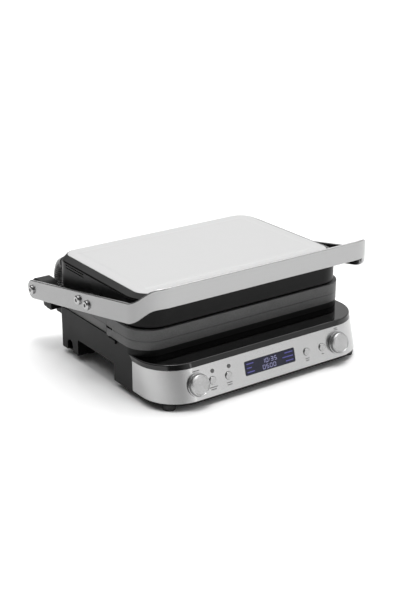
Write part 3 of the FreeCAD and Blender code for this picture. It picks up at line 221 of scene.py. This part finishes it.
def rubber(name):
    look = Look(name, grey(0.016), 0.7)
    look.vary_roughness(look.noise(80.0, 4.0), 0.62, 0.80)
    look.bump(look.noise(1800.0, 3.0), 0.35, 0.06 * MM)
    return look


def window_glass(name):
    """Display window: a glossy face over a dark blue-grey screen."""
    look = Look(name, (0.012, 0.013, 0.030), 0.12, Specular_IOR_Level=0.3)
    look.vary_colour(look.noise(45.0, 2.0), (0.010, 0.011, 0.026), (0.014, 0.015, 0.034))
    look.vary_roughness(look.noise(300.0, 2.0), 0.10, 0.15)
    return look


def lit_segment(name, colour, strength):
    look = Look(name, colour, 0.3)
    shade = look.noise(900.0, 1.0)
    look.vary_colour(shade, tuple(0.85 * c for c in colour), colour)
    look.shader.inputs["Emission Color"].default_value = (*colour, 1.0)
    look.shader.inputs["Emission Strength"].default_value = strength
    return look


def circuit_board(name):
    look = Look(name, (0.03, 0.12, 0.05), 0.35)
    look.vary_colour(look.noise(350.0, 2.0, (1.0, 0.2, 1.0)), (0.02, 0.09, 0.035),
                     (0.06, 0.20, 0.09))
    look.bump(look.noise(500.0, 2.0), 0.2, 0.05 * MM)
    return look


def heat_tinted_steel(name):
    look = Look(name, grey(0.30), 0.35, metallic=1.0)
    look.vary_colour(look.noise(35.0, 4.0), (0.20, 0.17, 0.15), (0.40, 0.38, 0.36))
    look.vary_roughness(look.noise(120.0, 4.0), 0.28, 0.45)
    return look


LINES = 4000.0               # brushing lines to a metre, across the grain

LOOKS = {
    "matte_black_plastic": moulded_plastic("moulded_black", 0.005, 0.42, 0.25, 0.13),
    "lid_black": moulded_plastic("lid_black", 0.006, 0.34, 0.15, 0.12),
    "gloss_black_plastic": gloss_plastic("gloss_black", 0.0012),
    "panel_steel": brushed_metal("panel_steel", 0.47, 0.24, (6.0, 6.0, LINES)),
    # the arms' 0.30 against the bar's 0.39 is painted shade
    "handle_steel": strip_metal_with_painted_shade("handle_steel", 0.39, 0.30),
    "silver_metal": satin_metal("silver_metal", 0.55, 0.22),
    "knob_metal": turned_metal("knob_metal", 0.42, 0.22),
    "cover_metal": pale_cover("cover_finish"),
    "grill_coating": cast_coating("grill_coating"),
    "rubber_black": rubber("rubber_black"),
    "display_glass": window_glass("display_glass"),
    "display_body": moulded_plastic("display_body", 0.04, 0.5),
    "lamp_lens": Look("lamp_lens", grey(0.07), 0.15, Coat_Weight=0.5),
    "circuit_board": circuit_board("circuit_board"),
    "bright_aluminium": satin_metal("bright_aluminium", 0.75, 0.30),
    "heater_steel": heat_tinted_steel("heater_steel"),
    "zinc_steel": satin_metal("screw_metal", 0.42, 0.20),
    "nylon_black": moulded_plastic("nylon_black", 0.03, 0.38),
    "conduit_plastic": moulded_plastic("conduit_grey", 0.42, 0.38),
    # painted shade for the hollows between the conduit's ribs
    "conduit_groove_shade": moulded_plastic("conduit_groove_shade", 0.02, 0.5),
    "print_ink": Look("print_ink", grey(0.10), 0.45),
    "lcd_white": lit_segment("lcd_white", (0.24, 0.24, 0.42), 0.3),
    "lcd_blue": lit_segment("lcd_blue", (0.055, 0.05, 0.25), 0.3),
    "studio_white": Look("studio_white", grey(0.9), 0.9),
}


def wear(piece, look):
    piece.data.materials.clear()
    piece.data.materials.append(LOOKS[look].material)
    return piece


OWN_LOOK = {"lid_shell": "lid_black", "front_panel": "panel_steel",
            "handle_strip": "handle_steel"}


def dress_cad_nodes():
    """Give every CAD node the finish that belongs to its material slot."""
    for part in frame["record"]["subparts"]:
        node = part["node"]
        wear(NODES[node], OWN_LOOK.get(node, part["material_slot"]))


# ---------------------------------------------------------------------------- building tools
def finish_mesh(name, vertices, faces, look, matrix=Matrix.Identity(4), crease=40.0):
    """Mesh object with smooth faces and sharp edges where faces turn by more than crease degrees."""
    mesh = bpy.data.meshes.new(name)
    mesh.from_pydata(vertices, [], faces)
    mesh.validate()
    mesh.update()
    mesh.shade_smooth()
    mesh.set_sharp_from_angle(angle=math.radians(crease))
    piece = bpy.data.objects.new(name, mesh)
    piece.matrix_world = matrix
    bpy.context.scene.collection.objects.link(piece)
    return wear(piece, look)


def loft(rings):
    """Vertices and faces of a capped skin over closed rings that have equally many points."""
    count = len(rings[0])
    vertices = [point for ring in rings for point in ring]
    faces = []
    for step in range(len(rings) - 1):
        for i in range(count):
            j = (i + 1) % count
            faces.append((step * count + i, step * count + j,
                          (step + 1) * count + j, (step + 1) * count + i))
    last = (len(rings) - 1) * count
    faces.append(tuple(reversed(range(count))))
    faces.append(tuple(range(last, last + count)))
    return vertices, faces


def lathe(name, profile, look, matrix, segments=96, teeth=None):
    """Turned piece about its own Z axis; teeth(radius, height, angle) may move a point's radius."""
    rings = []
    for radius, height in profile:
        ring = []
        for i in range(segments):
            angle = 2 * math.pi * i / segments
            reach = radius + (teeth(radius, height, angle) if teeth else 0.0)
            ring.append((reach * math.cos(angle), reach * math.sin(angle), height))
        rings.append(ring)
    vertices, faces = loft(rings)
    return finish_mesh(name, vertices, faces, look, matrix)


def joint(name):
    return next(item for item in frame["joints"] if item["name"] == name)


def centre(node):
    low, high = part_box(node)
    return (low + high) / 2


PANEL_POINT = Vector(joint("left_knob_turn")["pos_m"])
PANEL_OUT = Vector(joint("left_knob_turn")["axis"])
PANEL_ALONG = Vector((1.0, 0.0, 0.0))
PANEL_UP = PANEL_OUT.cross(PANEL_ALONG)


def on_panel(x, height, proud=0.0):
    """Matrix of a place on the control panel: local X along it, Y up it and Z out of it."""
    climb = (height - PANEL_POINT.z) / PANEL_UP.z
    spot = Vector((x, PANEL_POINT.y, PANEL_POINT.z)) + PANEL_UP * climb + PANEL_OUT * proud
    matrix = Matrix((PANEL_ALONG, PANEL_UP, PANEL_OUT)).transposed().to_4x4()
    return Matrix.Translation(spot) @ matrix


def grooved_face(rim, height, depth, pitch):
    """Profile of a turned face, from its rim to its centre, with fine concentric grooves."""
    steps_per_groove = 6
    count = int(rim / pitch) * steps_per_groove
    profile = []
    for i in range(count):
        radius = rim * (1 - i / count)
        wave = math.cos(2 * math.pi * i / steps_per_groove)
        profile.append((radius, height - depth * (0.5 - 0.5 * wave)))
    return profile


# ---------------------------------------------------------------------------- controls
def make_knob(side):
    """Turned knob: a skirt, a neck, a knurled side that tapers a little and a grooved face."""
    low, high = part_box(side + "_knob")
    flange = 0.8 * MM
    radius = (high.x - low.x) / 2 - flange
    depth = 8.0 * MM
    bevel = 0.9 * MM
    taper = 0.45 * MM
    face = depth - 0.25 * MM
    knurl_low = 2.9 * MM
    knurl_depth = 0.22 * MM
    teeth_count = 72
    side_low = 3.0 * MM
    side_pitch = 0.58 * MM

    def knurl(reach, height, angle):
        if reach < radius - 0.6 * MM or height < knurl_low or height > face - bevel:
            return 0.0
        return -knurl_depth * (0.5 + 0.5 * math.cos(teeth_count * angle))

    side_heights = [side_low + i * side_pitch for i in range(7)]
    profile = [(radius * 0.4, 0.6 * MM), (radius + 0.7 * MM, 0.6 * MM),
               (radius + flange, 0.8 * MM), (radius + flange, 1.8 * MM),
               (radius + 0.6 * MM, 2.0 * MM), (radius - 0.5 * MM, 2.1 * MM),
               (radius - 0.5 * MM, 2.7 * MM), (radius - 0.1 * MM, knurl_low)]
    profile += [(radius - taper * (height - side_low) / depth, height) for height in side_heights]
    profile += [(radius - taper, face - bevel), (radius - 0.75 * MM, face - 0.25 * MM),
                (radius - 1.2 * MM, depth), (radius - 1.9 * MM, depth),
                (radius - 2.2 * MM, depth - 0.35 * MM), (radius - 2.5 * MM, depth - 0.35 * MM)]
    profile += grooved_face(radius - 2.8 * MM, depth - 0.05 * MM, 0.05 * MM, 0.55 * MM)
    x = (low.x + high.x) / 2
    knob = lathe(side + "_knob_turned", profile, "knob_metal", on_panel(x, PANEL_POINT.z),
                 segments=288, teeth=knurl)
    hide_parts(side + "_knob")
    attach(knob, side + "_knob")


BUTTONS = ("upper_plate_button", "lower_plate_button", "program_button", "start_button")


def make_button(name):
    """Turned cap on a thin stem, with a rounded rim and a grooved face."""
    low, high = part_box(name)
    radius = (high.x - low.x) / 2
    proud = 1.8 * MM
    stem = 1.6 * MM
    profile = [(stem, -9.0 * MM), (stem, -4.3 * MM), (radius, -4.2 * MM),
               (radius, proud - 0.7 * MM), (radius - 0.12 * MM, proud - 0.35 * MM),
               (radius - 0.4 * MM, proud - 0.1 * MM), (radius - 0.8 * MM, proud)]
    profile += grooved_face(radius - 0.9 * MM, proud, 0.03 * MM, 0.40 * MM)
    button = lathe(name + "_turned", profile, "knob_metal",
                   on_panel((low.x + high.x) / 2, PANEL_POINT.z))
    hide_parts(name)
    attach(button, name)


def slabs(name, boxes, thick, look, matrix, body):
    """Thin bars on a face: each box is (left, low, width, height) in the face's own axes."""
    vertices = []
    faces = []
    for left, low, width, height in boxes:
        first = len(vertices)
        edge = min(width, height) * 0.25
        for inset, level in ((0.0, 0.0), (0.0, thick * 0.6), (edge, thick)):
            for u, v in ((left + inset, low + inset), (left + width - inset, low + inset),
                         (left + width - inset, low + height - inset),
                         (left + inset, low + height - inset)):
                vertices.append((u, v, level))
        for ring in (0, 4):
            for i in range(4):
                j = (i + 1) % 4
                faces.append((first + ring + i, first + ring + j,
                              first + ring + 4 + j, first + ring + 4 + i))
        faces.append(tuple(first + i for i in (3, 2, 1, 0)))
        faces.append(tuple(first + 8 + i for i in range(4)))
    piece = finish_mesh(name, vertices, faces, look, matrix)
    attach(piece, body)


# lit segments of each digit shown: a top, b and c right, d bottom, e and f left, g middle
SEGMENTS = {"0": "abcdef", "1": "bc", "3": "abgcd", "5": "afgcd"}


def digit_bars(text, left, low, width, height):
    """Seven-segment digits in a row; a colon takes less than half a place."""
    bars = []
    stroke = height * 0.13
    pitch = width * 1.35
    colon_pitch = pitch * 0.42
    dot = stroke * 1.1
    for sign in text:
        if sign == ":":
            bars += [(left, low + height * part, dot, dot) for part in (0.25, 0.62)]
            left += colon_pitch
            continue
        places = {
            "a": (left + stroke, low + height - stroke, width - 2 * stroke, stroke),
            "g": (left + stroke, low + (height - stroke) / 2, width - 2 * stroke, stroke),
            "d": (left + stroke, low, width - 2 * stroke, stroke),
            "f": (left, low + height / 2, stroke, height / 2 - stroke * 0.5),
            "b": (left + width - stroke, low + height / 2, stroke, height / 2 - stroke * 0.5),
            "e": (left, low + stroke * 0.5, stroke, height / 2 - stroke * 0.7),
            "c": (left + width - stroke, low + stroke * 0.5, stroke, height / 2 - stroke * 0.7),
        }
        bars += [places[name] for name in SEGMENTS[sign]]
        left += pitch
    return bars


def make_display():
    low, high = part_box("display_window")
    half = (high.x - low.x) / 2
    middle = centre("display_window").z
    face = on_panel(0.0, middle, 0.12 * MM)
    raised = 0.05 * MM
    digit_left = -12.5 * MM
    digit_width = 4.2 * MM
    digit_height = 5.6 * MM
    digits = []
    for text, low_edge in (("10:35", 0.9 * MM), ("0500", -6.9 * MM)):
        digits += digit_bars(text, digit_left, low_edge, digit_width, digit_height)
    slabs("display_digits", digits, raised, "lcd_white", face, "base")
    margin = 3.0 * MM
    bar_height = 1.3 * MM
    top_row = 4.9 * MM
    row_pitch = 5.3 * MM
    bars = []
    for row, (left_bar, right_bar) in enumerate(((11.0, 13.0), (7.5, 17.0), (11.5, 12.0))):
        height = top_row - row_pitch * row
        bars.append((-half + margin, height, left_bar * MM, bar_height))
        bars.append((half - margin - right_bar * MM, height, right_bar * MM, bar_height))
    slabs("display_bars", bars, raised, "lcd_blue", face, "base")


def make_panel_marks():
    """Short plain bars where a maker would print a legend."""
    below_button = -9.3 * MM
    row_pitch = 2.7 * MM
    above_knob = 16.6 * MM
    tall = 1.1 * MM
    low_mark = 1.0 * MM
    marks = []
    for name, rows in (("upper_plate_button", (13.0, 8.0)), ("lower_plate_button", (8.5, 7.5)),
                       ("program_button", (6.5, 5.5)), ("start_button", (4.0,))):
        x = centre(name).x
        for row, width in enumerate(rows):
            marks.append((x - width * MM / 2, below_button - row_pitch * row, width * MM, tall))
    left_x = centre("left_knob").x
    right_x = centre("right_knob").x
    marks.append((left_x - 5.0 * MM, above_knob, 10.0 * MM, tall))
    marks.append((right_x - 2.6 * MM, 18.9 * MM, 5.2 * MM, low_mark))
    marks.append((right_x - 3.2 * MM, above_knob, 6.4 * MM, low_mark))
    slabs("panel_marks", marks, 0.03 * MM, "print_ink", on_panel(0.0, PANEL_POINT.z, 0.005 * MM),
          "base")


# ---------------------------------------------------------------------------- lid cover
def rounded_rectangle(low, high, radius, height, points=14):
    """Closed ring of points with round corners, anticlockwise seen from above."""
    ring = []
    corners = ((high.x - radius, high.y - radius, 0.0), (low.x + radius, high.y - radius, 90.0),
               (low.x + radius, low.y + radius, 180.0), (high.x - radius, low.y + radius, 270.0))
    for x, y, start in corners:
        for i in range(points + 1):
            angle = math.radians(start + 90.0 * i / points)
            ring.append((x + radius * math.cos(angle), y + radius * math.sin(angle), height))
    return ring


def make_lid_cover():
    """Pale sheet with a rolled edge and a shallow raised field inside a soft border."""
    low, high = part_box("lid_cover")
    radius = 20.0 * MM
    border = 13.0 * MM
    step = 6.0 * MM
    drop = 0.9 * MM
    top = high.z
    profile = [(0.6 * MM, low.z), (0.0, low.z + 0.25 * MM), (0.0, top - drop - 0.55 * MM),
               (0.15 * MM, top - drop - 0.22 * MM), (0.45 * MM, top - drop - 0.05 * MM),
               (0.9 * MM, top - drop)]
    profile += [(border * share, top - drop) for share in (0.3, 0.6, 1.0)]
    step_points = 8
    for i in range(1, step_points + 1):
        share = i / step_points
        soft = share * share * (3 - 2 * share)
        profile.append((border + step * share, top - drop + drop * soft))
    profile += [(border + step + 10.0 * MM, top), (border + step + 40.0 * MM, top)]
    least_corner = 3.0 * MM
    rings = []
    for inset, height in profile:
        corner = max(radius - inset, least_corner)
        shift = Vector((inset, inset, 0.0))
        rings.append(rounded_rectangle(low + shift, high - shift, corner, height))
    vertices, faces = loft(rings)
    cover = finish_mesh("lid_cover_pressed", vertices, faces, "cover_metal")
    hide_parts("lid_cover")
    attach(cover, "lid")


# ---------------------------------------------------------------------------- wire conduit
def make_conduit():
    """Ribbed hose: one stretch bends from the base to the handle, the other on into the lid."""
    low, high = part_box("wire_conduit")
    x = (low.x + high.x) / 2
    foot = centre("conduit_socket")
    collar = centre("conduit_collar")
    outer = 6.7 * MM
    ribs = 20
    points = 288
    held_at_socket = 14          # points in from each end where end points are picked; nothing uses them
    held_at_handle = 18
    route = [Vector((x, foot.y, foot.z - 2.0 * MM)),
             Vector((x, foot.y + 6.5 * MM, foot.z + 16.0 * MM)),
             Vector((x, foot.y - 1.0 * MM, foot.z + 36.5 * MM)),
             Vector((x, collar.y, collar.z))]
    line = smooth_line(route, points)
    half = len(line) // 2
    lower_ends = (line[held_at_socket], line[half - held_at_handle])
    upper_ends = (line[half + held_at_handle], line[-held_at_socket])
    for name, part, bodies, ends in (
            ("conduit_lower", line[:half + 1], ("base", "handle"), lower_ends),
            ("conduit_upper", line[half:], ("handle", "lid"), upper_ends)):
        piece = ribbed_tube(name, part, outer, ribs / 2)
        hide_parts("wire_conduit")
        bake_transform(piece)


JUST_UNDER = 1e-6            # keeps the last point inside the last span


def smooth_line(points, count):
    """Points along a Catmull-Rom curve, which passes through the given ones."""
    line = []
    spans = len(points) - 1
    for i in range(count + 1):
        place = min(i / count * spans, spans - JUST_UNDER)
        span = int(place)
        t = place - span
        before = points[max(span - 1, 0)] if span else points[0] * 2 - points[1]
        a, b = points[span], points[span + 1]
        after = points[span + 2] if span + 2 <= spans else b * 2 - a
        line.append(0.5 * ((2 * a) + (b - before) * t
                           + (2 * before - 5 * a + 4 * b - after) * t * t
                           + (3 * a - before - 3 * b + after) * t ** 3))
    return line


def ribbed_tube(name, line, outer, ribs):
    """Closed tube along a line in the YZ plane, with round ribs and painted shade in the grooves between them."""
    rings = []
    across = Vector((1.0, 0.0, 0.0))
    segments = 32
    rib_depth = 1.2 * MM
    rib_flatness = 0.6
    shaded_groove_below = -0.3
    for i, spot in enumerate(line):
        ahead = line[min(i + 1, len(line) - 1)] - line[max(i - 1, 0)]
        side = ahead.normalized().cross(across)
        wave = 0.5 + 0.5 * math.cos(2 * math.pi * ribs * i / (len(line) - 1))
        radius = outer - rib_depth * (1 - wave ** rib_flatness)
        rings.append([spot + (across * math.cos(a) + side * math.sin(a)) * radius
                      for a in (2 * math.pi * k / segments for k in range(segments))])
    vertices, faces = loft(rings)
    hose = finish_mesh(name, vertices, faces, "conduit_plastic", crease=60.0)
    # painted shade: faces down in the grooves take a near-black second material
    hose.data.materials.append(LOOKS["conduit_groove_shade"].material)
    for face in hose.data.polygons[:(len(line) - 1) * segments]:
        step = face.index // segments + 0.5
        if math.cos(2 * math.pi * ribs * step / (len(line) - 1)) < shaded_groove_below:
            face.material_index = 1
    return hose


# ---------------------------------------------------------------------------- studio
def make_floor():
    """Level floor that reaches past everything the camera sees."""
    reach = 60.0
    cells = 8
    vertices = []
    faces = []
    for row in range(cells + 1):
        for column in range(cells + 1):
            vertices.append((reach * (2 * column / cells - 1), reach * (2 * row / cells - 1), 0.0))
    for row in range(cells):
        for column in range(cells):
            first = row * (cells + 1) + column
            faces.append((first, first + 1, first + cells + 2, first + cells + 1))
    floor = finish_mesh("studio_floor", vertices, faces, "studio_white")


def area_light(name, spot, aim, width, height, power):
    """Upright strip light that the camera doesn't see."""
    data = bpy.data.lights.new(name, "AREA")
    data.shape = "RECTANGLE"
    data.size = width
    data.size_y = height
    data.energy = power
    light = bpy.data.objects.new(name, data)
    light.location = spot
    light.rotation_euler = (Vector(aim) - Vector(spot)).to_track_quat("-Z", "Y").to_euler()
    light.visible_camera = False
    bpy.context.scene.collection.objects.link(light)


SKY_RIGHT_LEVEL = 0.90
SKY_LEFT_LEVEL = 0.14
SKY_PATCH = (0.10, 0.30, 0.95)
SKY_PATCH_LEVEL = 2.0


def sky_ramp(tree, coordinates, towards, limits, levels):
    """Brightness that rises smoothly as a direction comes close to another one."""
    facing = tree.nodes.new("ShaderNodeVectorMath")
    facing.operation = "DOT_PRODUCT"
    facing.inputs[1].default_value = towards
    tree.links.new(coordinates.outputs["Generated"], facing.inputs[0])
    level = tree.nodes.new("ShaderNodeMapRange")
    level.interpolation_type = "SMOOTHSTEP"
    level.inputs["From Min"].default_value = limits[0]
    level.inputs["From Max"].default_value = limits[1]
    level.inputs["To Min"].default_value = levels[0]
    level.inputs["To Max"].default_value = levels[1]
    tree.links.new(facing.outputs["Value"], level.inputs["Value"])
    return level.outputs["Result"]


def make_sky():
    """Grey surroundings, brighter to the right, with a broad soft light high behind."""
    world = bpy.data.worlds.new("studio")
    world.use_nodes = True
    tree = world.node_tree
    direction = tree.nodes.new("ShaderNodeTexCoord")
    side = sky_ramp(tree, direction, (1.0, 0.0, 0.0), (-0.2, 0.5),
                    (SKY_LEFT_LEVEL, SKY_RIGHT_LEVEL))
    patch = sky_ramp(tree, direction, SKY_PATCH, (0.68, 0.86), (0.0, SKY_PATCH_LEVEL))
    total = tree.nodes.new("ShaderNodeMath")
    total.operation = "ADD"
    tree.links.new(side, total.inputs[0])
    tree.links.new(patch, total.inputs[1])
    tree.links.new(total.outputs["Value"], tree.nodes["Background"].inputs["Strength"])
    tree.nodes["Background"].inputs["Color"].default_value = (1.0, 1.0, 1.0, 1.0)
    bpy.context.scene.world = world


def make_overhead_light():
    """Broad overhead light, a little from the right, that leaves the floor pale."""
    data = bpy.data.lights.new("overhead", "SUN")
    data.energy = 0.9
    data.angle = math.radians(18.0)
    light = bpy.data.objects.new("overhead", data)
    light.rotation_euler = (0.0, math.radians(2.0), 0.0)
    bpy.context.scene.collection.objects.link(light)


def make_studio():
    bpy.context.scene.view_settings.view_transform = "Standard"
    make_sky()
    make_floor()
    make_overhead_light()
    area_light("front_strip", spot=(1.15, -2.60, 0.6), aim=(-0.1, -0.1, 0.1),
               width=0.20, height=2.0, power=2.6)


def make_camera():
    """Camera above the left front, looking down at the grill."""
    data = bpy.data.cameras.new("view")
    data.sensor_width = 36.0
    data.lens = 69.5
    camera = bpy.data.objects.new("view", data)
    yaw = math.radians(35.2)
    pitch = math.radians(21.4)
    camera.location = (-0.8455, -1.1897, 0.6399)
    camera.rotation_euler = (math.pi / 2 - pitch, 0.0, -yaw)
    bpy.context.scene.collection.objects.link(camera)
    bpy.context.scene.camera = camera


make_camera()
dress_cad_nodes()
for knob_side in ("left", "right"):
    make_knob(knob_side)
for button_name in BUTTONS:
    make_button(button_name)
make_display()
make_panel_marks()
make_lid_cover()
make_conduit()
make_studio()
